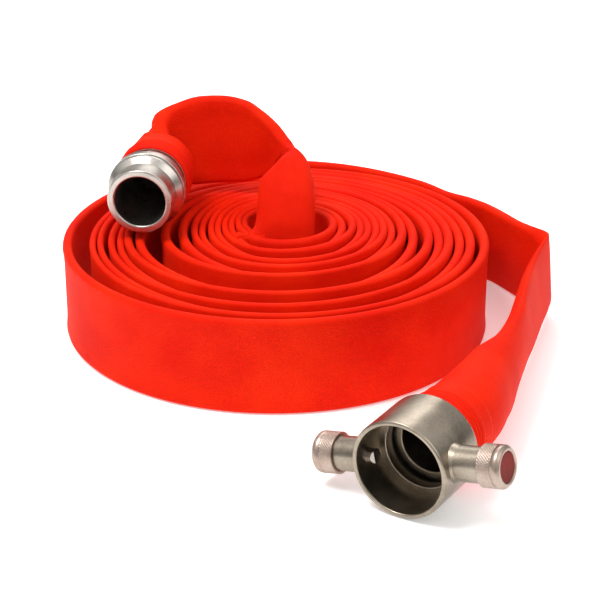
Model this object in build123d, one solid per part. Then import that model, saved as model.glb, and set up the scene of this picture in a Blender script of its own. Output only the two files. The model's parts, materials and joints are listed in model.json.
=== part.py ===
from build123d import *
import os
from math import cos, radians, sin, tan

# Rolled layflat fire hose with an instantaneous coupling half on each end.
# Millimetres, +Z up, origin on the floor at the axis of the roll.

# ---- driving dimensions: hose ----
FLAT_WIDTH = 97.0          # width of the hose when flat, and so the height of the roll
COIL_RADIUS = 216.0        # outside of the outermost turn
EYE_CENTRE = (9.0, 36.0)   # the roll's open middle is off its axis
EYE_RADIUS = 46.0
RIM_CHAMFER = 3.0          # stands for the rounded fold of the hose along the roll's edges
CUFF_BORE = 31.9           # hose pushed over a tail
CUFF_OUTER = 34.2
WIRE_RADIUS = 0.9          # wire bound over the cuff
WIRE_PITCH = 2.4
COVER_INNER = CUFF_OUTER + 2.1
COVER_OUTER = CUFF_OUTER + 3.3

# ---- driving dimensions: coupling interface (2 1/2 inch instantaneous) ----
NOSE_RADIUS = 33.2
NOSE_LENGTH = 22.0
LUG_RING_RADIUS = 38.7
COLLAR_RADIUS = 39.7
NECK_RADIUS = 34.5
WATERWAY = 26.0
MOUTH_RADIUS = 40.5
SEAT_RADIUS = 33.6
BODY_RADIUS = 45.0
TAIL_RADIUS = 31.75
TAIL_LEAD = 8.0            # the tail's inner end opens out over this length
GROOVE_DEPTH = 1.6
MALE_BARBS = 7
FEMALE_BARBS = 8
BARB_DEPTH = 1.0

# ---- stations along the male half, measured back from the nose end ----
RING_FRONT = 28.0
RING_BACK = 31.2
COLLAR_FRONT = 32.2
COLLAR_BACK = 41.0
NECK_BACK = 56.0
MALE_CUFF = (58.0, 102.0)
MALE_TAIL_END = 100.0
NIPPLE_RADIUS = 30.0
NIPPLE_FRONT = 18.0

# ---- stations along the female half, measured back from the mouth ----
PLUNGER_DEPTH = 24.0
MOUTH_DEPTH = 39.0
SEAT_DEPTH = 48.5
SEAL_DEPTH = 54.0
BODY_DEPTH = 60.0
SHOULDER_DEPTH = 61.5
SHOULDER_RADIUS = 36.0
FEMALE_CUFF = (62.0, 112.0)
FEMALE_TAIL_END = 110.0
SEAL_INNER = 33.7
SEAL_OUTER = 39.5
THREAD_RADIUS = 38.0
LIP_SLOPE = 2.2            # the seal's lip, from its face back
LIP_DEPTH = 3.4

# ---- plunger lugs, radii measured out from the coupling's axis ----
TOOTH_RADIUS = 6.5
TOOTH_TIP = 35.0
HEAD_RADIUS = 11.0
HEAD_SPAN = (46.0, 50.0)
STEM_RADIUS = 4.0
STEM_END = 88.0
TUBE_OUTER = 15.5
TUBE_INNER = 11.5
TUBE_END = 78.0
TUBE_START = BODY_RADIUS - 5.0
WELD_WIDTH = 1.6
WELD_RISE = 2.4
BUSH_START = 72.0
KNOB_SPAN = (70.0, 91.0)
KNOB_RADIUS = 18.5
KNOB_CAVITY = 80.5
KNOB_BEVEL = 2.6
NUT_ROOM = 8.2
SKIRT_INNER = 15.8
DISC_SPAN = (88.6, 90.2)
DISC_RADIUS = 13.4
NUT_SPAN = (83.6, 87.6)
NUT_ACROSS_FLATS = 13.0
RUNNING = 0.05
DISC_FIT = 0.1
CAM_ANGLE = 40.0           # slope of the tooth towards the mouth
CAM_SIZE = (10.0, 20.0, 10.0)
CAM_OFFSET = (TOOTH_RADIUS + 2.5, 0.0, TOOTH_TIP - 2.0)
SPRING_SEAT = 0.2
SPRING_WIRE = 1.0
SPRING_RADIUS = 8.0
SPRING_TURNS = 5

# ---- where the two halves lie ----
MALE_NOSE = Vector(-135.7, -21.0, FLAT_WIDTH + COLLAR_RADIUS + 0.1)   # its collar rests on the roll
MALE_YAW = 8.0             # nose axis, turned from -Y towards -X
FEMALE_MOUTH = Vector(106.3, -397.9, BODY_RADIUS)
FEMALE_YAW = 32.0
LUG_TILT = 12.0            # the right lug points this much up


def facing(yaw):
    """Horizontal direction turned from -Y towards -X."""
    return Vector(-sin(radians(yaw)), -cos(radians(yaw)), 0)


def lug_direction():
    """Across the female half, level, then rolled about its axis."""
    level = Vector(cos(radians(FEMALE_YAW)), -sin(radians(FEMALE_YAW)), 0)
    return level * cos(radians(LUG_TILT)) + Vector(0, 0, 1) * sin(radians(LUG_TILT))


MALE_OUT = facing(MALE_YAW)
FEMALE_OUT = facing(FEMALE_YAW)
MALE_PLANE = Plane(origin=MALE_NOSE, x_dir=MALE_OUT.cross(Vector(0, 0, 1)), z_dir=MALE_OUT)
FEMALE_PLANE = Plane(origin=FEMALE_MOUTH, x_dir=lug_direction(), z_dir=FEMALE_OUT)


def male_point(depth):
    return MALE_NOSE - MALE_OUT * depth


def female_point(depth):
    return FEMALE_MOUTH - FEMALE_OUT * depth


# ---- hose routes: centre of the hose, where it isn't coiled ----
# for each station: centre, then half width and half thickness, then direction of the width
MID = FLAT_WIDTH / 2
LEG_SHARE = 0.45           # of the shorter leg, taken by the arc at a corner
OUTER_ROUTE = [
    (161, 139, MID), (183, 112, MID), (205, 100, MID), (223, 91, MID), (240, 64, MID),
    (256, 34, MID), (268, 11, MID), (277, -3, MID), (273, -20, MID), (259, -64, MID),
    (246, -109, 47.5), (232, -153, 46.0), (217, -200, 44.5), (199, -244, 44.0),
]
OUTER_HALVES = [
    (48.5, 6.0), (48.5, 6.0), (48.5, 6.0), (48.5, 6.5), (48.5, 7.0),
    (48.5, 7.0), (48.5, 7.0), (48.5, 7.0), (48.5, 7.5), (48.5, 8.5),
    (47.5, 11.0), (45.5, 15.0), (43.0, 21.0), (40.5, 28.0),
]
INNER_ROUTE = [
    (8, 12, 2), (8, 12, 30), (8, 12, 60), (9, 15, 88), (9, 30, 112), (2, 56, 132),
    (-16, 88, 146), (-43, 108, 151), (-72, 114, 151), (-98, 112, 148), (-114, 104, 143),
]
INNER_HALVES = [
    (31.5, 16.0), (31.0, 16.0), (30.5, 16.0), (30.5, 15.0), (32.0, 15.0), (37.0, 12.0),
    (45.0, 9.0), (48.0, 8.0), (48.5, 10.0), (47.0, 13.0), (43.0, 20.0),
]
INNER_ACROSS = [
    (1, 0, 0), (1, 0, 0), (1, 0, 0.05), (1, 0, 0.12), (0.9, 0.1, 0.4), (0.68, 0.1, 0.73),
    (0.4, 0.1, 0.9), (0.12, 0, 1), (0, 0, 1), (0, 0, 1), (0, 0, 1),
]


# ---- helpers ----
def turned(*profile):
    """Solid of revolution about Z from (radius, height) points."""
    outline = make_face(Plane.XZ * Polyline(*profile, close=True))
    return revolve(outline, Axis.Z)


def eased(solid, radius, height, size):
    """Rounds the circular edge that has this radius and height."""
    near = [e for e in solid.edges().filter_by(GeomType.CIRCLE)
            if abs(e.radius - radius) < 0.01 and abs(e.arc_center.Z - height) < 0.01]
    return fillet(near, size)


def serrations(start, end, count):
    """Saw-tooth profile of a hose tail, from its front station back."""
    pitch = (end - start) / count
    points = []
    for i in range(count):
        front = start + i * pitch
        points += [(TAIL_RADIUS - BARB_DEPTH, -front - pitch / 20), (TAIL_RADIUS, -front - pitch / 2)]
    return points + [(TAIL_RADIUS - BARB_DEPTH, -end)]


def placed(shape, plane):
    return plane.location * shape


def lug_plane(side):
    """Frame of one lug: +Z out along the lug, +X towards the mouth."""
    return Plane(origin=female_point(PLUNGER_DEPTH), x_dir=FEMALE_OUT, z_dir=lug_direction() * side)


def save(shape, node):
    shape.label = node
    export_step(shape, f"parts/{node}.step")


# ---- hose ----
def hose_coil():
    roll = Cylinder(COIL_RADIUS, FLAT_WIDTH, align=(Align.CENTER, Align.CENTER, Align.MIN))
    eye = Cylinder(EYE_RADIUS, FLAT_WIDTH * 2).moved(Location((*EYE_CENTRE, 0)))
    return chamfer((roll - eye).edges().filter_by(GeomType.CIRCLE), RIM_CHAMFER)


def section(centre, heading, across, half_width, half_thick):
    """Oval section of the hose, square to its heading."""
    heading = Vector(heading).normalized()
    across = Vector(across)
    across = (across - heading * across.dot(heading)).normalized()
    return Plane(origin=centre, x_dir=across, z_dir=heading) * Ellipse(half_width, half_thick)


def tail_space(plane, start, end):
    """What a tail takes out of the hose that is stretched over it."""
    bore = Cylinder(CUFF_BORE, end - start + 1, align=(Align.CENTER, Align.CENTER, Align.MAX))
    return placed(bore.moved(Location((0, 0, 1 - start))), plane)


def stretch(route, halves, across, plane, cuff):
    """One free stretch of hose, lofted along its route and on over a tail."""
    start, end = cuff
    tip, out = plane.origin, plane.z_dir
    points = [Vector(p) for p in route]
    ahead = points[1:] + [tip - out * end]
    behind = points[:1] + points[:-1]
    sections = [section(p, a - b, w, *h) for p, a, b, w, h in zip(points, ahead, behind, across, halves)]
    sections += [section(tip - out * depth, out, across[-1], CUFF_OUTER, CUFF_OUTER) for depth in (end, start)]
    return loft(sections, ruled=True) - tail_space(plane, start, end - 1)


def hose_outer_run():
    return stretch(OUTER_ROUTE, OUTER_HALVES, [(0, 0, 1)] * len(OUTER_ROUTE), FEMALE_PLANE, FEMALE_CUFF)


def hose_inner_run():
    return stretch(INNER_ROUTE, INNER_HALVES, INNER_ACROSS, MALE_PLANE, MALE_CUFF)


# ---- male half, origin at the nose end, +Z out of the nose ----
def male_nose():
    body = turned(
        (WATERWAY, 0), (NOSE_RADIUS, 0), (NOSE_RADIUS, -NOSE_LENGTH), (LUG_RING_RADIUS, -RING_FRONT),
        (LUG_RING_RADIUS, -RING_BACK), (NIPPLE_RADIUS, -RING_BACK), (NIPPLE_RADIUS, -NIPPLE_FRONT),
        (WATERWAY, -NIPPLE_FRONT))
    body = eased(body, NOSE_RADIUS, 0, 1.6)
    body = eased(body, WATERWAY, 0, 1.8)
    return eased(body, LUG_RING_RADIUS, -RING_FRONT, 1.2)


def male_tail():
    groove = LUG_RING_RADIUS - GROOVE_DEPTH
    tail = turned(
        (WATERWAY, -NIPPLE_FRONT), (NIPPLE_RADIUS, -NIPPLE_FRONT), (NIPPLE_RADIUS, -RING_BACK),
        (groove, -RING_BACK), (groove, -COLLAR_FRONT), (COLLAR_RADIUS, -COLLAR_FRONT),
        (COLLAR_RADIUS, -COLLAR_BACK), (NECK_RADIUS, -COLLAR_BACK), (NECK_RADIUS, -NECK_BACK),
        *serrations(NECK_BACK, MALE_TAIL_END, MALE_BARBS), (WATERWAY + 1, -MALE_TAIL_END),
        (WATERWAY, -MALE_TAIL_END + TAIL_LEAD))
    tail = eased(tail, COLLAR_RADIUS, -COLLAR_FRONT, 0.8)
    return eased(tail, COLLAR_RADIUS, -COLLAR_BACK, 1.6)


# ---- female half, origin at the mouth, +Z out of the mouth ----
def female_body():
    shell = turned(
        (MOUTH_RADIUS, 0), (BODY_RADIUS, 0), (BODY_RADIUS, -BODY_DEPTH), (THREAD_RADIUS, -BODY_DEPTH),
        (THREAD_RADIUS, -SEAL_DEPTH), (SEAL_OUTER, -SEAL_DEPTH), (SEAL_OUTER, -SEAT_DEPTH),
        (SEAT_RADIUS, -SEAT_DEPTH), (SEAT_RADIUS, -MOUTH_DEPTH), (MOUTH_RADIUS, -MOUTH_DEPTH))
    shell = eased(shell, BODY_RADIUS, 0, 2.2)
    shell = eased(shell, MOUTH_RADIUS, 0, 1.4)
    shell = eased(shell, SEAT_RADIUS, -MOUTH_DEPTH, 1.2)
    shell = eased(shell, BODY_RADIUS, -BODY_DEPTH, 2.0)
    hole = Cylinder(TOOTH_RADIUS + RUNNING, 4 * BODY_RADIUS, rotation=(0, 90, 0))
    return shell - hole.moved(Location((0, 0, -PLUNGER_DEPTH)))


def female_tail():
    tail = turned(
        (WATERWAY, -SEAL_DEPTH), (THREAD_RADIUS, -SEAL_DEPTH), (THREAD_RADIUS, -BODY_DEPTH),
        (SHOULDER_RADIUS, -BODY_DEPTH), (SHOULDER_RADIUS, -SHOULDER_DEPTH),
        *serrations(SHOULDER_DEPTH, FEMALE_TAIL_END, FEMALE_BARBS), (WATERWAY + 1, -FEMALE_TAIL_END),
        (WATERWAY, -FEMALE_TAIL_END + TAIL_LEAD))
    return eased(tail, WATERWAY, -SEAL_DEPTH, 1.5)


def female_seal():
    return turned(
        (SEAL_INNER, -SEAT_DEPTH), (SEAL_OUTER, -SEAT_DEPTH), (SEAL_OUTER, -SEAL_DEPTH),
        (SEAL_INNER + LIP_SLOPE, -SEAL_DEPTH), (SEAL_INNER + LIP_SLOPE, -SEAT_DEPTH - LIP_DEPTH),
        (SEAL_INNER, -SEAT_DEPTH - LIP_SLOPE))


def binding_wire(start, end):
    """Close-wound wire over a cuff, as one ring for each turn."""
    count = int((end - start) / WIRE_PITCH)
    ring = Torus(CUFF_OUTER + WIRE_RADIUS + RUNNING, WIRE_RADIUS)
    return Compound([ring.moved(Location((0, 0, -start - i * WIRE_PITCH))) for i in range(count)])


def cuff_cover(start, end):
    """Cloth turned over the binding."""
    return turned((COVER_INNER, -start), (COVER_OUTER, -start), (COVER_OUTER, -end), (COVER_INNER, -end))


# ---- one plunger lug, origin on the coupling's axis, +Z outwards ----
def lug_tube():
    tube = turned((TUBE_INNER, TUBE_START), (TUBE_OUTER, TUBE_START), (TUBE_OUTER, TUBE_END),
                  (TUBE_INNER, TUBE_END))
    weld = turned((TUBE_INNER, TUBE_START), (TUBE_OUTER + WELD_WIDTH, TUBE_START),
                  (TUBE_OUTER + WELD_WIDTH, BODY_RADIUS - WELD_RISE), (TUBE_OUTER, BODY_RADIUS + WELD_RISE),
                  (TUBE_INNER, BODY_RADIUS + WELD_RISE))
    shell = Cylinder(BODY_RADIUS, 3 * BODY_RADIUS, rotation=(0, 90, 0))
    return eased(tube + weld - shell, TUBE_OUTER, TUBE_END, 0.8)


def guide_bush():
    return turned((STEM_RADIUS + RUNNING, BUSH_START), (TUBE_INNER, BUSH_START),
                  (TUBE_INNER, TUBE_END), (STEM_RADIUS + RUNNING, TUBE_END))


def plunger():
    pin = turned(
        (0, TOOTH_TIP), (TOOTH_RADIUS, TOOTH_TIP), (TOOTH_RADIUS, HEAD_SPAN[0]), (HEAD_RADIUS, HEAD_SPAN[0]),
        (HEAD_RADIUS, HEAD_SPAN[1]), (STEM_RADIUS, HEAD_SPAN[1]), (STEM_RADIUS, STEM_END), (0, STEM_END))
    cam = Box(*CAM_SIZE, rotation=(0, -CAM_ANGLE, 0)).moved(Location(CAM_OFFSET))
    return pin - cam


def plunger_spring():
    height = BUSH_START - HEAD_SPAN[1] - 2 * (SPRING_WIRE + SPRING_SEAT)
    coil = Helix(pitch=height / SPRING_TURNS, height=height, radius=SPRING_RADIUS)
    wire = Plane(origin=coil @ 0, z_dir=coil % 0) * Circle(SPRING_WIRE)
    spring = sweep(wire, path=coil, is_frenet=True)
    return spring.moved(Location((0, 0, HEAD_SPAN[1] + SPRING_WIRE + SPRING_SEAT)))


def knob():
    disc_room = DISC_RADIUS + DISC_FIT
    cap = turned(
        (STEM_RADIUS, KNOB_CAVITY), (SKIRT_INNER, KNOB_CAVITY), (SKIRT_INNER, KNOB_SPAN[0]),
        (KNOB_RADIUS, KNOB_SPAN[0]), (KNOB_RADIUS, KNOB_SPAN[1]), (disc_room, KNOB_SPAN[1]),
        (disc_room, DISC_SPAN[0]), (NUT_ROOM, DISC_SPAN[0]), (NUT_ROOM, NUT_SPAN[0]),
        (STEM_RADIUS, NUT_SPAN[0]))
    cap = eased(cap, KNOB_RADIUS, KNOB_SPAN[1], KNOB_BEVEL)
    cap = eased(cap, KNOB_RADIUS, KNOB_SPAN[0], 0.8)
    return eased(cap, disc_room, KNOB_SPAN[1], 0.6)


def knob_nut():
    height = NUT_SPAN[1] - NUT_SPAN[0]
    hexagon = RegularPolygon(NUT_ACROSS_FLATS / 2, 6, major_radius=False)
    nut = extrude(hexagon - Circle(STEM_RADIUS), height)
    return nut.moved(Location((0, 0, NUT_SPAN[0])))


def indicator_disc():
    disc = turned((0, DISC_SPAN[0]), (DISC_RADIUS, DISC_SPAN[0]), (DISC_RADIUS, DISC_SPAN[1]),
                  (0, DISC_SPAN[1]))
    return eased(disc, DISC_RADIUS, DISC_SPAN[1], 0.5)


LUG_PARTS = {
    "lug_tube": lug_tube, "guide_bush": guide_bush, "plunger": plunger, "plunger_spring": plunger_spring,
    "knob": knob, "knob_nut": knob_nut, "indicator_disc": indicator_disc,
}


def route_radii(name, route, last):
    """Prints the radius of the arc that fits each corner of a route."""
    points = [Vector(p) for p in route] + [last]
    radii = []
    for a, b, c in zip(points, points[1:], points[2:]):
        turn = radians((b - a).get_angle(c - b))
        if turn > 0.01:
            radii.append(LEG_SHARE * min((b - a).length, (c - b).length) / tan(turn / 2))
    length = sum((b - a).length for a, b in zip(points, points[1:]))
    print(name, "length", round(length), "radii", [round(r) for r in radii])


def main():
    os.makedirs("parts", exist_ok=True)
    route_radii("outer run", OUTER_ROUTE, female_point(FEMALE_CUFF[1]))
    route_radii("inner run", INNER_ROUTE, male_point(MALE_CUFF[1]))
    save(hose_coil(), "hose_coil")
    save(hose_outer_run(), "hose_outer_run")
    save(hose_inner_run(), "hose_inner_run")
    for node, maker in {"male_nose": male_nose, "male_tail": male_tail}.items():
        save(placed(maker(), MALE_PLANE), node)
    for node, maker in {"female_body": female_body, "female_tail": female_tail,
                        "female_seal": female_seal}.items():
        save(placed(maker(), FEMALE_PLANE), node)
    for name, plane, span in (("male", MALE_PLANE, MALE_CUFF), ("female", FEMALE_PLANE, FEMALE_CUFF)):
        start, end = span[0] + WIRE_RADIUS, span[1] - TAIL_LEAD - WIRE_PITCH
        save(placed(binding_wire(start, end), plane), f"{name}_binding_wire")
        save(placed(cuff_cover(span[0], end), plane), f"{name}_cuff_cover")
    for name, side in (("left", -1), ("right", 1)):
        for part, maker in LUG_PARTS.items():
            save(placed(maker(), lug_plane(side)), f"{name}_{part}")


main()
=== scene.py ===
import json
import math

import bpy
import numpy as np
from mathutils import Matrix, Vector


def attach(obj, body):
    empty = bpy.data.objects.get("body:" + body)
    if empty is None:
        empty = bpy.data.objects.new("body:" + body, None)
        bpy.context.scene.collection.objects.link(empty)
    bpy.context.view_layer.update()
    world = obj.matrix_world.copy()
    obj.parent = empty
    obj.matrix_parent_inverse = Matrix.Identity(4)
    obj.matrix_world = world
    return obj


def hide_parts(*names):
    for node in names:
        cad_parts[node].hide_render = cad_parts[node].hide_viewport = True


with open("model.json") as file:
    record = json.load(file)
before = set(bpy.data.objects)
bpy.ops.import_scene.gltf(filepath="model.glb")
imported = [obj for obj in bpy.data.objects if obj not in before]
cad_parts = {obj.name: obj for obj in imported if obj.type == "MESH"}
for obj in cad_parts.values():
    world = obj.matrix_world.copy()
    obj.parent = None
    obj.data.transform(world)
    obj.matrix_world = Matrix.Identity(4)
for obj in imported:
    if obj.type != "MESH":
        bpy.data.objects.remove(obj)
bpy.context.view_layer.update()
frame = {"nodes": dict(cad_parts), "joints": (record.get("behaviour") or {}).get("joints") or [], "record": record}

MM = 0.001

# ---- the hose and the roll (millimetres, turned to metres where points are made) ----
HALF_WIDTH = 48.5
EDGE_RADII = (3.3, 4.8)     # rounded fold along each edge, with little room and with enough
FACE_SHARE = 0.78           # half thickness between the folds, as a share of the fold's radius
OUTER_CENTRELINE = 212.0
EYE = (9.0, 34.0)           # centre of the innermost turn
COIL_ENDS = (50.0, 245.0)   # azimuth of the outermost and of the innermost point of the roll
# space from one turn to the next, from the outermost turn inwards, on each side of the roll
BACK_GAPS = (30, 7, 7, 7, 7, 7, 7, 7, 7, 7, 7, 7, 7, 7, 7, 7)
LEFT_GAPS = (26, 8, 11, 9, 7, 12, 25, 18, 12, 8, 9, 7, 7, 7, 7, 6)
FRONT_GAPS = (16, 6.5, 12.5, 6.5, 22.5, 6.5, 37.5, 6.5, 11.5, 6.5, 11.5, 6.5, 16.5, 6.5, 16.5, 13)
RIGHT_GAPS = (14, 11, 11, 10, 10, 16, 10, 11, 8, 8, 8, 8, 8, 11, 9, 8)
STEPS_PER_TURN = 36
TURNS_MIDDLE = (0.004, 0.015)   # point, in metres, that lies inside every turn
PINCHED_SAG = 7.0           # every other turn is pressed lower at the front
LOWEST_AT = 290.0           # azimuth where it is pressed lowest
RING_STEP = 0.004

# ---- where the tube is cut into pieces, in metres along the hose from each end ----
INNER_LENGTH = 0.75
OUTER_LENGTH = 1.75
LINING_RINGS = 13
LINING_SHARE = 0.93         # radius of the lining as a share of the hose's

# ---- how the section changes where the hose opens out, half thickness in millimetres ----
OPENING_FROM = 5.0          # hose thicker than this has flatter faces and fuller folds
OPENING_SHARE = 0.2
FULL_EDGE_FROM = 6.0
FULL_EDGE_SHARE = 0.8
EDGE_BLEND_FROM = 0.72      # share of the half width where the face starts to swell into the fold

# ---- stretches of the line, in metres, searched for a station's place ----
NEXT_STATION = 0.004
NEXT_OUTER_STATION = 0.003
STATION_REACH = 0.08
LOOP_REACH = 0.75
COIL_MARGIN = 0.01
RINGS_PER_KEY = 12

# ---- free ends: one edge, other edge, half thickness, roundness ----
# the first edge goes on as the top edge of the turns
OUTER_STATIONS = [
    ((161, 139, 97), (161, 139, 0), 4.0, 0.0),
    ((181, 110, 97), (185, 114, 0), 4.2, 0.0),
    ((201, 96, 97), (210, 105, 0), 4.6, 0.0),
    ((214, 84, 97), (232, 98, 0), 5.0, 0.0),
    ((232, 57, 97), (248, 71, 0), 5.0, 0.0),
    ((248, 27, 97), (264, 41, 0), 5.0, 0.0),
    ((264, 11, 97), (273, 17, 0), 5.5, 0.05),
    ((273, 6, 99), (279, 5, 0), 6.5, 0.2),
    ((276, 2, 99), (280, -2, 0), 7.0, 0.3),
    ((273, -5, 99), (278, -11, 0), 7.5, 0.35),
    ((265, -23, 98), (274, -25, 0), 8.5, 0.35),
    ((250, -68, 97), (261, -66, 1), 10.0, 0.35),
    ((240, -112, 94), (248, -110, 1), 11.5, 0.4),
    ((231, -153, 89), (232, -154, 1), 15.0, 0.6),
    ((216, -197, 85), (214, -202, 2), 20.0, 0.8),
    ((191, -240, 82), (198, -250, 5), 26.0, 1.0),
]
INNER_STATIONS = [
    ((-46, -8, 97), (-44, -8, 0), 4.0, 0.0),
    ((-37, -7, 98), (-16, -9, 0), 4.6, 0.0),
    ((-32, -4, 99), (20, -6, 8), 6.0, 0.2),
    ((-29, 0, 100), (44, -1, 38), 8.0, 0.35),
    ((-28, 5, 104), (46, 5, 72), 11.0, 0.5),
    ((-27, 10, 112), (47, 12, 98), 13.0, 0.55),
    ((-26, 17, 132), (48, 25, 117), 13.0, 0.5),
    ((-23, 23, 146), (47, 37, 127), 12.0, 0.4),
    ((-9, 33, 154), (42, 48, 138), 10.0, 0.3),
    ((4, 45, 160), (33, 58, 149), 8.5, 0.2),
    ((9, 60, 157), (24, 67, 159), 8.5, 0.3),
    ((5, 77, 143), (12, 77, 173), 8.0, 0.2),
    ((-1, 93, 126), (-1, 88, 184), 8.0, 0.1),
    ((-14, 103, 115), (-15, 98, 193), 7.0, 0.05),
    ((-34, 110, 109), (-32, 107, 201), 6.5, 0.0),
    ((-56, 114, 107), (-54, 114, 204), 6.5, 0.0),
    ((-80, 115, 105), (-82, 115, 203), 7.0, 0.0),
    ((-97, 113, 103), (-109, 113, 196), 8.0, 0.05),
    ((-99, 106, 102), (-126, 106, 191), 13.0, 0.15),
    ((-104, 98, 101), (-133, 97, 184), 22.0, 0.45),
    ((-113, 90, 102), (-134, 86, 177), 31.0, 0.85),
]

# ---- couplings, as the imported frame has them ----
NOSE_PIN_DEPTH = 0.0118     # from the nose's tip back to the middle of its pin
SEAT_BORE_DEPTH = 0.04545   # from the mouth back to the middle of the seat's bore
MOUNTS = {m["name"]: m for m in frame["record"]["mounts"]}
NOSE_OUT = Vector(MOUNTS["male_nose"]["axis"])
NOSE_TIP = Vector(MOUNTS["male_nose"]["pos_m"]) + NOSE_OUT * NOSE_PIN_DEPTH
MOUTH_OUT = Vector(MOUNTS["coupling_seat"]["axis"])
MOUTH = Vector(MOUNTS["coupling_seat"]["pos_m"]) + MOUTH_OUT * SEAT_BORE_DEPTH
MALE_CUFF = (0.058, 0.102)      # start and end of the cloth on the tail, as depths
FEMALE_CUFF = (0.062, 0.112)
MALE_COVER_END = 0.093
FEMALE_COVER_END = 0.104
CUFF_LEAD = (0.012, -0.010)     # control points beyond and within the cuff's end
CUFF_RADIUS = 36.2
LUG_SLIDES = {j["child"]: Vector(j["axis"]) for j in frame["joints"]}
PLUNGER_DEPTH = 0.024


# ================= routes =================
def side_distances(gaps):
    """Distance of each turn from the roll's axis on one side, from the outermost inwards."""
    return [OUTER_CENTRELINE - sum(gaps[:k]) for k in range(len(gaps) + 1)]


def coil_radii():
    """Radius about the drifting centre at each quarter turn, from the outermost inwards."""
    sides = [side_distances(g) for g in (BACK_GAPS, LEFT_GAPS, FRONT_GAPS, RIGHT_GAPS)]
    turns = len(sides[0])
    radii = []
    for k in range(turns):
        for quarter in range(4):
            share = (k + quarter / 4) / turns
            shift = (-EYE[1], EYE[0], EYE[1], -EYE[0])[quarter] * share
            radii.append(sides[quarter][k] + shift)
    return [radii[0] + 1.0] + radii, turns


RADII, TURNS = coil_radii()
LAST_AZIMUTH = COIL_ENDS[1] + 360.0 * (TURNS - 1)


def hermite(values, at):
    """Smooth curve through evenly spaced values."""
    i = int(min(max(math.floor(at), 1), len(values) - 3))
    t = at - i
    a, b, c, d = values[i - 1:i + 3]
    m0, m1 = (c - a) / 2, (d - b) / 2
    return ((2 * t**3 - 3 * t**2 + 1) * b + (t**3 - 2 * t**2 + t) * m0
            + (-2 * t**3 + 3 * t**2) * c + (t**3 - t**2) * m1)


def sag(azimuth):
    """How much lower than the hose's full width a turn's top edge is."""
    low = 1.1 + 0.9 * math.sin(azimuth / 83.0) + 0.6 * math.sin(azimuth / 29.0 + 2.0)
    turn = int((azimuth - 90) // 360)
    if turn > 0 and turn % 2 == 0:
        low += PINCHED_SAG * max(0.0, math.cos(math.radians(azimuth - LOWEST_AT))) ** 2
    return low


def edge_radius(azimuth):
    """Radius of the rounded edges of a turn, from the room it has beside its neighbours."""
    here = hermite(RADII, azimuth / 90)
    room = []
    if azimuth > 360 + COIL_ENDS[0]:
        room.append(hermite(RADII, azimuth / 90 - 4) - here)
    if azimuth < LAST_AZIMUTH - 360:
        room.append(here - hermite(RADII, azimuth / 90 + 4))
    return min(max(min(room) / 2 - 0.2, EDGE_RADII[0]), EDGE_RADII[1])


def coil_points():
    """Control points of the turns, from the innermost outwards."""
    span = LAST_AZIMUTH - COIL_ENDS[0]
    count = int(span / 360 * STEPS_PER_TURN)
    points = []
    for i in range(count, -1, -1):
        azimuth = COIL_ENDS[0] + span * i / count
        share = (azimuth - 90) / 360 / TURNS
        radius = hermite(RADII, azimuth / 90)
        a = math.radians(azimuth)
        x = EYE[0] * share + radius * math.cos(a)
        y = EYE[1] * share + radius * math.sin(a)
        points.append((x, y, HALF_WIDTH - sag(azimuth) / 2))
    return points


def cuff_points(tip, out, cuff):
    """The two ends of the stretch that is pushed over a tail, far end first, in millimetres."""
    depths = (cuff[1] + CUFF_LEAD[0], cuff[1] + CUFF_LEAD[1], cuff[0])
    return [tuple((tip - out * depth) / MM) for depth in depths]


def middle(station):
    return tuple((a + b) / 2 for a, b in zip(station[0], station[1]))


def hose_route():
    male = list(reversed(cuff_points(NOSE_TIP, NOSE_OUT, MALE_CUFF)))
    female = cuff_points(MOUTH, MOUTH_OUT, FEMALE_CUFF)
    inner = [middle(station) for station in reversed(INNER_STATIONS)]
    outer = [middle(station) for station in OUTER_STATIONS]
    return male + inner + coil_points() + outer + female


def spline_line(points):
    """Points along the smooth line of a NURBS route."""
    data = bpy.data.curves.new("route", "CURVE")
    data.dimensions = "3D"
    spline = data.splines.new("NURBS")
    spline.points.add(len(points) - 1)
    for point, place in zip(spline.points, points):
        point.co = (*(c * MM for c in place), 1)
    spline.order_u = 3
    spline.use_endpoint_u = True
    spline.resolution_u = 8
    holder = bpy.data.objects.new("route", data)
    mesh = bpy.data.meshes.new_from_object(holder)
    line = np.array([v.co for v in mesh.vertices], float)
    bpy.data.objects.remove(holder)
    bpy.data.meshes.remove(mesh)
    bpy.data.curves.remove(data)
    return line


def evenly(line, step):
    along = np.concatenate([[0], np.cumsum(np.linalg.norm(np.diff(line, axis=0), axis=1))])
    at = np.linspace(0, along[-1], int(along[-1] / step) + 1)
    return np.stack([np.interp(at, along, line[:, k]) for k in range(3)], axis=1), at


def nearest_along(line, at, point, low, high):
    """Distance along the line of the place nearest to a point, looked for between two distances."""
    keep = (at >= low) & (at <= high)
    gaps = np.linalg.norm(line[keep] - np.array(point) * MM, axis=1)
    return at[keep][int(gaps.argmin())]


# ================= the hose =================
SIDE_POINTS = 9
END_POINTS = 6


def flat_outline():
    """Outline of the flat hose: place along the width, side, and direction on the end arcs."""
    face = np.linspace(-1, 1, SIDE_POINTS)
    face = np.sign(face) * np.abs(face) ** 0.8
    arc = np.linspace(math.pi / 2, -math.pi / 2, END_POINTS + 2)[1:-1]
    rows = [(u, 1.0, 0.0, 0.0) for u in face]
    rows += [(1.0, 0.0, math.cos(a), math.sin(a)) for a in arc]
    rows += [(u, -1.0, 0.0, 0.0) for u in face[::-1]]
    rows += [(-1.0, 0.0, -math.cos(a), -math.sin(a)) for a in arc]
    return np.array(rows)


OUTLINE = flat_outline()
RING = len(OUTLINE)


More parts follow.
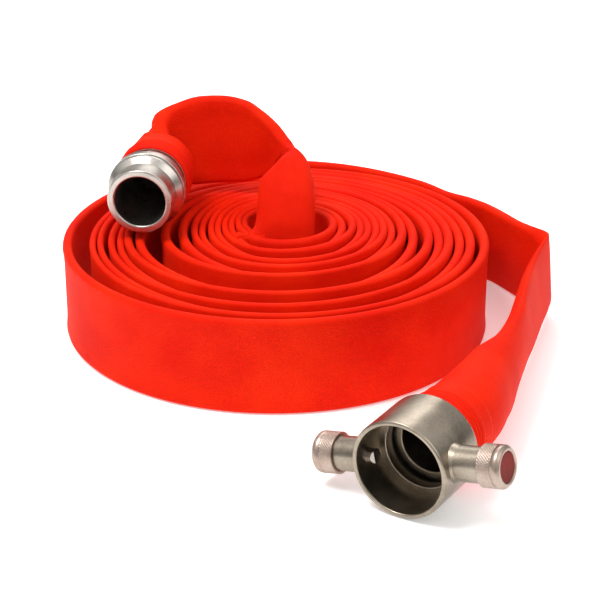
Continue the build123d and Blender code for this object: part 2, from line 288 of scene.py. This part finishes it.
def ring_shape(half_width, half_thick, roundness):
    """Offsets of one ring's points along the width and along the normal, in metres."""
    if half_thick < FULL_EDGE_FROM:
        edge = max(half_thick, EDGE_RADII[0])
    else:
        edge = max(FULL_EDGE_FROM, half_thick * FULL_EDGE_SHARE)
    edge = min(edge, half_width)
    straight = half_width - edge
    u, side, cx, cy = OUTLINE.T
    near_edge = np.clip((np.abs(u) - EDGE_BLEND_FROM) / (1 - EDGE_BLEND_FROM), 0, 1)
    near_edge = near_edge * near_edge * (3 - 2 * near_edge)
    share = FACE_SHARE - OPENING_SHARE * min(max(half_thick - OPENING_FROM, 0.0), 1.0)
    face = half_thick * (share + (1 - share) * min(2 * roundness, 1.0))
    across = u * straight + cx * edge
    normal = side * (face + (edge - face) * near_edge) + cy * edge
    angle = math.pi - (2 * np.arange(RING) + 1 - END_POINTS) / RING * math.pi
    across = across + (half_width * np.cos(angle) - across) * roundness
    normal = normal + (half_thick * np.sin(angle) - normal) * roundness
    return across * MM, normal * MM


def station_key(line, at, station, low, high):
    """Distance along the hose, half width, half thickness, roundness and direction of the width."""
    first, second = (np.array(edge, float) for edge in station[:2])
    width = np.linalg.norm(first - second)
    place = nearest_along(line, at, middle(station), low, high)
    return (place, width / 2, station[2], station[3], *((first - second) / width))


def coil_keys(line, at, start, end):
    """Keys of the turns: the height and the rounded edges change from place to place."""
    inside = (at > start) & (at < end)
    places = at[inside]
    x, y = (line[inside, k] - TURNS_MIDDLE[k] for k in (0, 1))
    bearing = np.degrees(np.unwrap(np.arctan2(y, x)))
    bearing = bearing - bearing[-1] + COIL_ENDS[0]
    keys = []
    for i in range(RINGS_PER_KEY // 2, len(places) - RINGS_PER_KEY // 2, RINGS_PER_KEY):
        azimuth = float(min(max(bearing[i], COIL_ENDS[0]), LAST_AZIMUTH))
        half_width = HALF_WIDTH - sag(azimuth) / 2
        keys.append((places[i], half_width, edge_radius(azimuth), 0.0, 0, 0, 1))
    return keys


def along_keys(line, at):
    """Shape keys of the whole hose, in order from the male half to the female half."""
    length = at[-1]
    male_end, female_end = MALE_CUFF[1] - MALE_CUFF[0], FEMALE_CUFF[1] - FEMALE_CUFF[0]
    round_section = (CUFF_RADIUS, CUFF_RADIUS, 1.0)
    keys = [(place, *round_section, 0, 0, -1) for place in (0.0, male_end)]
    low = male_end + NEXT_STATION
    for station in reversed(INNER_STATIONS):
        keys.append(station_key(line, at, station, low, low + STATION_REACH))
        low = keys[-1][0] + NEXT_STATION
    outer = []
    low = length - LOOP_REACH
    for station in OUTER_STATIONS:
        outer.append(station_key(line, at, station, low, length - female_end - NEXT_STATION))
        low = outer[-1][0] + NEXT_OUTER_STATION
    keys += coil_keys(line, at, keys[-1][0] + COIL_MARGIN, outer[0][0] - COIL_MARGIN) + outer
    keys += [(place, *round_section, 0, 0, 1) for place in (length - female_end, length)]
    return np.array(keys)


def smooth_keys(keys, at):
    """The keyed values at every distance, eased between keys without overshoot."""
    places, values = keys[:, 0], keys[:, 1:]
    index = np.clip(np.searchsorted(places, at, side="right") - 1, 0, len(places) - 2)
    t = np.clip((at - places[index]) / (places[index + 1] - places[index]), 0, 1)[:, None]
    rise = np.diff(values, axis=0) / np.diff(places)[:, None]
    slopes = np.zeros_like(values)
    before, after = rise[:-1], rise[1:]
    same = before * after > 0
    slopes[1:-1] = np.where(same, 2 * before * after / np.where(same, before + after, 1), 0)
    span = (places[index + 1] - places[index])[:, None]
    return ((2 * t**3 - 3 * t**2 + 1) * values[index] + (t**3 - 2 * t**2 + t) * slopes[index] * span
            + (-2 * t**3 + 3 * t**2) * values[index + 1] + (t**3 - t**2) * slopes[index + 1] * span)


def hose_rings(line, at):
    """Rings of points round the whole hose, one row for each step along it."""
    values = smooth_keys(along_keys(line, at), at)
    tangents = np.gradient(line, axis=0)
    across = values[:, 3:6] / np.linalg.norm(values[:, 3:6], axis=1)[:, None]
    normals = np.cross(tangents, across)
    normals /= np.linalg.norm(normals, axis=1)[:, None]
    rings = np.zeros((len(line), RING, 3))
    for i in range(len(line)):
        u, v = ring_shape(*values[i, :3])
        rings[i] = line[i] + np.outer(u, across[i]) + np.outer(v, normals[i])
    rings[:, :, 2] = np.maximum(rings[:, :, 2], 0.0)
    return rings


def tube_object(name, rings, at, closed=False):
    """Mesh tube through rings, closed at its far end or open, with a cloth UV map in metres."""
    rows, ring = rings.shape[:2]
    verts = rings.reshape(-1, 3)
    faces = []
    for i in range(rows - 1):
        for j in range(ring):
            k = (j + 1) % ring
            faces.append((i * ring + j, i * ring + k, (i + 1) * ring + k, (i + 1) * ring + j))
    if closed:
        faces.append(tuple((rows - 1) * ring + j for j in range(ring)))
    mesh = bpy.data.meshes.new(name)
    mesh.from_pydata(verts.tolist(), [], faces)
    widths = np.linalg.norm(np.diff(np.vstack([rings[0], rings[0][:1]]), axis=0), axis=1)
    around = np.concatenate([[0], np.cumsum(widths)])
    layer = mesh.uv_layers.new(name="cloth")
    uvs = []
    for i in range(rows - 1):
        for j in range(ring):
            uvs += [(at[i], around[j]), (at[i], around[j + 1]),
                    (at[i + 1], around[j + 1]), (at[i + 1], around[j])]
    if closed:
        uvs += [(0.0, 0.0)] * ring
    layer.data.foreach_set("uv", np.array(uvs, np.float32).ravel())
    for polygon in mesh.polygons:
        polygon.use_smooth = True
    mesh.validate()
    made = bpy.data.objects.new(name, mesh)
    bpy.context.scene.collection.objects.link(made)
    return made


def make_hose():
    line, at = evenly(spline_line(hose_route()), RING_STEP)
    rings = hose_rings(line, at)
    length = at[-1]
    inner_end = int(np.searchsorted(at, INNER_LENGTH))
    outer_start = int(np.searchsorted(at, length - OUTER_LENGTH))
    spans = {"hose_inner": (0, inner_end), "hose_roll": (inner_end - 1, outer_start),
             "hose_outer": (outer_start - 1, len(line))}
    made = {name: tube_object(name, rings[a:b], at[a:b]) for name, (a, b) in spans.items()}
    made["male_lining"] = lining("male_lining", rings[:LINING_RINGS])
    made["female_lining"] = lining("female_lining", rings[::-1][:LINING_RINGS])
    paths = {"hose_inner": line[:inner_end][::-1], "hose_outer": line[outer_start - 1:]}
    print("hose length", round(float(length), 3))
    return made, paths


def lining(name, rings):
    """Rubber inside of the hose next to a coupling, closed at its far end."""
    centres = rings.mean(axis=1, keepdims=True)
    inner = centres + (rings - centres) * LINING_SHARE
    inner[0] = rings[0]
    return tube_object(name, inner, np.arange(len(inner)) * RING_STEP, closed=True)


# ================= turned pieces =================
def lathe(name, tip, out, profile, around=96, ridge=None):
    """Piece turned about an axis, from (radius, depth) points, with ridge added to the radius."""
    x_side = out.orthogonal().normalized()
    y_side = out.cross(x_side)
    rings = np.zeros((len(profile), around, 3))
    for i, (radius, depth) in enumerate(profile):
        for j in range(around):
            angle = 2 * math.pi * j / around
            r = radius + (ridge(angle, depth) if ridge else 0.0)
            side = x_side * math.cos(angle) + y_side * math.sin(angle)
            rings[i, j] = tip - out * depth + side * r
    along = np.concatenate([[0], np.cumsum(np.hypot(*np.diff(np.array(profile), axis=0).T))])
    return tube_object(name, rings, along)


COVER_THICKNESS = 0.0009
COVER_STEPS = 90
RIDGE_HEIGHT = 0.0016
RIDGE_PITCH = 0.0045
RIDGES_END = 0.026          # depth past the cover's start where the ridges have faded
RIDGES_FADE = 0.004
EDGE_DROP = 0.0012          # how far the cover's edge tucks in
EDGE_LENGTH = 0.003


def cover_profile(start, end):
    """Cloth drawn over the binding wire: ridges near the coupling, then a tucked edge."""
    rows = [(CUFF_RADIUS * MM - 0.002, start + 0.0002)]
    for i in range(COVER_STEPS + 1):
        depth = start + (end - start) * i / COVER_STEPS
        fade = min(max((start + RIDGES_END - depth) / RIDGES_FADE, 0.0), 1.0)
        ridge = RIDGE_HEIGHT * fade * abs(math.sin(math.pi * (depth - start) / RIDGE_PITCH))
        taper = EDGE_DROP * min(max((depth - end + EDGE_LENGTH) / EDGE_LENGTH, 0.0), 1.0)
        rows.append((CUFF_RADIUS * MM + COVER_THICKNESS - taper + ridge, depth))
    return rows


KNURLS = 44
KNOB_POINTS = 264
KNURL_DEPTH = 0.0005
KNURL_BAND = (0.0709, 0.0822)
KNOB_RADIUS = 0.0185


def knurl(angle, depth):
    """Diamond pattern: crossed spiral grooves, on the band next to the skirt's edge."""
    if not KNURL_BAND[0] < -depth < KNURL_BAND[1]:
        return 0.0
    turn = -depth / KNOB_RADIUS
    a = abs(((angle + turn) * KNURLS / (2 * math.pi)) % 1 - 0.5) * 2
    b = abs(((angle - turn) * KNURLS / (2 * math.pi)) % 1 - 0.5) * 2
    return -KNURL_DEPTH * (1 - a * b) + KNURL_DEPTH * 0.3


def knob_profile():
    """Pull knob: inside and edge of the skirt, knurled band, groove, plain end and disc recess."""
    skirt = [(0.0040, -0.0805), (0.0158, -0.0805), (0.0158, -0.0702), (0.0161, -0.0700),
             (0.0178, -0.0700), (KNOB_RADIUS, -0.0707)]
    band = [(KNOB_RADIUS, -0.0710 - 0.00035 * i) for i in range(32)]
    groove = [(KNOB_RADIUS, -0.0823), (0.0181, -0.0826), (0.0181, -0.0832), (KNOB_RADIUS, -0.0835)]
    end = [(KNOB_RADIUS, -0.0878), (0.0181, -0.0888), (0.0162, -0.0908), (0.0156, -0.0910)]
    recess = [(0.0139, -0.0910), (0.0135, -0.0906), (0.0135, -0.0886), (0.0082, -0.0886),
              (0.0082, -0.0836), (0.0040, -0.0836)]
    return skirt + band + groove + end + recess


# ================= materials =================
def material(name, colour, roughness, metallic=0.0):
    made = bpy.data.materials.new(name)
    made.use_nodes = True
    shader = made.node_tree.nodes["Principled BSDF"]
    shader.inputs["Base Color"].default_value = (*colour, 1)
    shader.inputs["Roughness"].default_value = roughness
    shader.inputs["Metallic"].default_value = metallic
    return made, made.node_tree.nodes, made.node_tree.links, shader


def noise(nodes, links, source, scale, detail=3.0):
    made = nodes.new("ShaderNodeTexNoise")
    made.inputs["Scale"].default_value = scale
    made.inputs["Detail"].default_value = detail
    links.new(source, made.inputs["Vector"])
    return made.outputs["Fac"]


def blend_colours(nodes, links, factor, low, high, low_at=0.35, high_at=0.65):
    ramp = nodes.new("ShaderNodeValToRGB")
    ramp.color_ramp.elements[0].position = low_at
    ramp.color_ramp.elements[1].position = high_at
    ramp.color_ramp.elements[0].color = (*low, 1)
    ramp.color_ramp.elements[1].color = (*high, 1)
    links.new(factor, ramp.inputs["Fac"])
    return ramp.outputs["Color"]


def maths(nodes, links, operation, first, second):
    made = nodes.new("ShaderNodeMath")
    made.operation = operation
    for socket, value in zip(made.inputs, (first, second)):
        if isinstance(value, float):
            socket.default_value = value
        else:
            links.new(value, socket)
    return made.outputs["Value"]


def bump(nodes, links, height, strength, distance, below=None):
    made = nodes.new("ShaderNodeBump")
    made.inputs["Strength"].default_value = strength
    made.inputs["Distance"].default_value = distance
    links.new(height, made.inputs["Height"])
    if below is not None:
        links.new(below, made.inputs["Normal"])
    return made.outputs["Normal"]


WARP = 0.0024               # spacing of the weave's ribs, across and along the hose
WEFT = 0.0028


def cloth_material(name, low, high):
    """Woven jacket: warp and weft ribs, soft worn patches and a little fuzz."""
    made, nodes, links, shader = material(name, high, 0.62)
    place = nodes.new("ShaderNodeUVMap")
    place.uv_map = "cloth"
    parts = nodes.new("ShaderNodeSeparateXYZ")
    links.new(place.outputs["UV"], parts.inputs["Vector"])
    across = maths(nodes, links, "MULTIPLY", parts.outputs["Y"], 2 * math.pi / WARP)
    warp = maths(nodes, links, "SINE", across, 0.0)
    along = maths(nodes, links, "MULTIPLY", parts.outputs["X"], 2 * math.pi / WEFT)
    weft = maths(nodes, links, "SINE", along, 0.0)
    weave = maths(nodes, links, "MULTIPLY", warp, weft)
    coords = nodes.new("ShaderNodeTexCoord")
    patches = noise(nodes, links, coords.outputs["Object"], 16.0, 4.0)
    fuzz = noise(nodes, links, coords.outputs["Object"], 900.0, 2.0)
    crease = noise(nodes, links, coords.outputs["Object"], 38.0, 3.0)
    tone = maths(nodes, links, "ADD", maths(nodes, links, "MULTIPLY", patches, 0.7),
                 maths(nodes, links, "MULTIPLY", fuzz, 0.3))
    tone = maths(nodes, links, "ADD", tone, maths(nodes, links, "MULTIPLY", weave, 0.05))
    links.new(blend_colours(nodes, links, tone, low, high), shader.inputs["Base Color"])
    soft = bump(nodes, links, crease, 0.45, 0.0022)
    ribs = bump(nodes, links, weave, 0.5, 0.00022, soft)
    links.new(bump(nodes, links, fuzz, 0.4, 0.0003, ribs), shader.inputs["Normal"])
    shader.inputs["Specular IOR Level"].default_value = 0.06
    shader.inputs["Sheen Weight"].default_value = 0.03
    shader.inputs["Sheen Roughness"].default_value = 0.45
    shader.inputs["Sheen Tint"].default_value = (1.0, 0.35, 0.15, 1)
    return made


def steel_material(name, low, high, roughness, axis, grain=2600.0):
    """Turned metal: fine lines round the axis, stains and small pits."""
    made, nodes, links, shader = material(name, high, roughness, 1.0)
    coords = nodes.new("ShaderNodeTexCoord")
    turn = nodes.new("ShaderNodeVectorMath")
    turn.operation = "DOT_PRODUCT"
    turn.inputs[1].default_value = tuple(axis)
    links.new(coords.outputs["Object"], turn.inputs[0])
    lines = nodes.new("ShaderNodeTexNoise")
    lines.noise_dimensions = "1D"
    lines.inputs["Scale"].default_value = grain
    lines.inputs["Detail"].default_value = 2.0
    links.new(turn.outputs["Value"], lines.inputs["W"])
    stains = noise(nodes, links, coords.outputs["Object"], 28.0, 5.0)
    pits = noise(nodes, links, coords.outputs["Object"], 420.0, 3.0)
    tone = maths(nodes, links, "ADD", maths(nodes, links, "MULTIPLY", stains, 0.75),
                 maths(nodes, links, "MULTIPLY", pits, 0.25))
    links.new(blend_colours(nodes, links, tone, low, high, 0.38, 0.6), shader.inputs["Base Color"])
    dull = maths(nodes, links, "ADD", maths(nodes, links, "MULTIPLY", tone, 0.22), roughness - 0.11)
    streaks = maths(nodes, links, "MULTIPLY", lines.outputs["Fac"], 0.06)
    links.new(maths(nodes, links, "ADD", dull, streaks), shader.inputs["Roughness"])
    fine = bump(nodes, links, lines.outputs["Fac"], 0.25, 0.00008)
    links.new(bump(nodes, links, pits, 0.15, 0.0001, fine), shader.inputs["Normal"])
    return made


def plain_material(name, low, high, roughness, scale):
    """Rubber or plastic with faint mottling."""
    made, nodes, links, shader = material(name, high, roughness)
    coords = nodes.new("ShaderNodeTexCoord")
    mottle = noise(nodes, links, coords.outputs["Object"], scale, 4.0)
    links.new(blend_colours(nodes, links, mottle, low, high), shader.inputs["Base Color"])
    links.new(bump(nodes, links, mottle, 0.2, 0.0002), shader.inputs["Normal"])
    return made


def paint(obj, made):
    obj.data.materials.clear()
    obj.data.materials.append(made)


# ================= stage =================
FLOOR_HALF = 6.0
FLOOR_GAP = 0.0004
FLOOR_GLOW = 0.28           # keeps the pale floor from turning grey around the roll
WORLD_STRENGTH = 0.8


def make_floor():
    corners = [(-FLOOR_HALF, -FLOOR_HALF, 0), (FLOOR_HALF, -FLOOR_HALF, 0),
               (FLOOR_HALF, FLOOR_HALF, 0), (-FLOOR_HALF, FLOOR_HALF, 0)]
    mesh = bpy.data.meshes.new("floor")
    mesh.from_pydata(corners, [], [(0, 1, 2, 3)])
    floor = bpy.data.objects.new("floor", mesh)
    floor.location.z = -FLOOR_GAP
    bpy.context.scene.collection.objects.link(floor)
    pale, nodes, links, shader = material("floor", (0.93, 0.93, 0.92), 0.8)
    shader.inputs["Emission Color"].default_value = (1, 1, 1, 1)
    shader.inputs["Emission Strength"].default_value = FLOOR_GLOW
    paint(floor, pale)


def make_world():
    """White above, darker towards the horizon, so that the metal has something to reflect."""
    world = bpy.data.worlds.new("studio")
    world.use_nodes = True
    nodes, links = world.node_tree.nodes, world.node_tree.links
    background = nodes["Background"]
    coords = nodes.new("ShaderNodeTexCoord")
    parts = nodes.new("ShaderNodeSeparateXYZ")
    links.new(coords.outputs["Generated"], parts.inputs["Vector"])
    sky = blend_colours(nodes, links, parts.outputs["Z"], (0.10, 0.095, 0.09), (1.0, 1.0, 1.0),
                        0.05, 0.55)
    links.new(sky, background.inputs["Color"])
    background.inputs["Strength"].default_value = WORLD_STRENGTH
    bpy.context.scene.world = world


def make_lamp(name, place, aim, size, power):
    light = bpy.data.lights.new(name, "AREA")
    light.size = size
    light.energy = power
    lamp = bpy.data.objects.new(name, light)
    lamp.location = place
    lamp.rotation_euler = (Vector(aim) - Vector(place)).to_track_quat("-Z", "Y").to_euler()
    bpy.context.scene.collection.objects.link(lamp)


def make_camera():
    data = bpy.data.cameras.new("camera")
    data.sensor_width = 36.0
    data.lens = 110.32
    camera = bpy.data.objects.new("camera", data)
    camera.location = (0.02467, -1.73187, 0.81223)
    camera.rotation_euler = (math.radians(65.41), 0, 0)
    bpy.context.scene.collection.objects.link(camera)
    bpy.context.scene.camera = camera


bpy.context.scene.view_settings.view_transform = "Standard"
make_camera()
make_floor()
make_world()
make_lamp("key", (-0.8, -0.5, 2.0), (0, -0.05, 0), 0.8, 30)
make_lamp("fill", (1.5, -1.0, 1.5), (0.05, -0.1, 0), 1.4, 9)
make_lamp("back", (0.2, 1.6, 1.7), (0, 0, 0.05), 1.2, 14)

# ================= pieces =================
finishes = {
    "hose_cloth": cloth_material("hose_cloth", (0.70, 0.008, 0.001), (0.85, 0.022, 0.002)),
    "cast_steel": steel_material("cast_steel", (0.24, 0.20, 0.155), (0.40, 0.34, 0.27), 0.30,
                                 MOUTH_OUT),
    "bright_steel": steel_material("bright_steel", (0.44, 0.40, 0.36), (0.58, 0.54, 0.49), 0.27,
                                   NOSE_OUT),
    "knurled_steel": steel_material("knurled_steel", (0.34, 0.25, 0.20), (0.50, 0.40, 0.34), 0.36,
                                    LUG_SLIDES["right_plunger"]),
    "spring_steel": plain_material("spring_steel", (0.30, 0.30, 0.30), (0.42, 0.42, 0.42), 0.35,
                                   200.0),
    "binding_wire": plain_material("binding_wire", (0.42, 0.40, 0.37), (0.6, 0.58, 0.55), 0.4,
                                   300.0),
    "seal_rubber": plain_material("seal_rubber", (0.008, 0.008, 0.008), (0.02, 0.02, 0.02), 0.6,
                                  150.0),
    "red_disc": plain_material("red_disc", (0.15, 0.008, 0.004), (0.24, 0.014, 0.008), 0.5, 60.0),
}
disc_shader = finishes["red_disc"].node_tree.nodes["Principled BSDF"]
disc_shader.inputs["Specular IOR Level"].default_value = 0.12
for name in ("spring_steel", "binding_wire"):
    finishes[name].node_tree.nodes["Principled BSDF"].inputs["Metallic"].default_value = 1.0

pieces, paths = make_hose()
pieces["female_cover"] = lathe("female_cover", MOUTH, MOUTH_OUT,
                               cover_profile(FEMALE_CUFF[0], FEMALE_COVER_END))
pieces["male_cover"] = lathe("male_cover", NOSE_TIP, NOSE_OUT,
                             cover_profile(MALE_CUFF[0], MALE_COVER_END))
for body, axis in LUG_SLIDES.items():
    centre = MOUTH - MOUTH_OUT * PLUNGER_DEPTH
    pieces[body + "_knob"] = lathe(body + "_knob", centre, axis, knob_profile(), KNOB_POINTS, knurl)

cloth_pieces = ("hose_inner", "hose_roll", "hose_outer", "female_cover", "male_cover")
slot_of = {name: "hose_cloth" for name in cloth_pieces}
slot_of.update({"male_lining": "seal_rubber", "female_lining": "seal_rubber"})
slot_of.update({body + "_knob": "knurled_steel" for body in LUG_SLIDES})
for name, piece in pieces.items():
    paint(piece, finishes[slot_of[name]])
    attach(piece, name[:-5] if name.endswith("_knob") else "root")
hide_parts("hose_coil")
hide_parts("hose_outer_run")
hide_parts("hose_inner_run")
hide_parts("female_cuff_cover")
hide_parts("male_cuff_cover")
for body in LUG_SLIDES:
    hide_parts(body.split("_")[0] + "_knob")

slots = {row["node"]: row["material_slot"] for row in frame["record"]["subparts"]}
for node, obj in frame["nodes"].items():
    paint(obj, finishes[slots[node]])
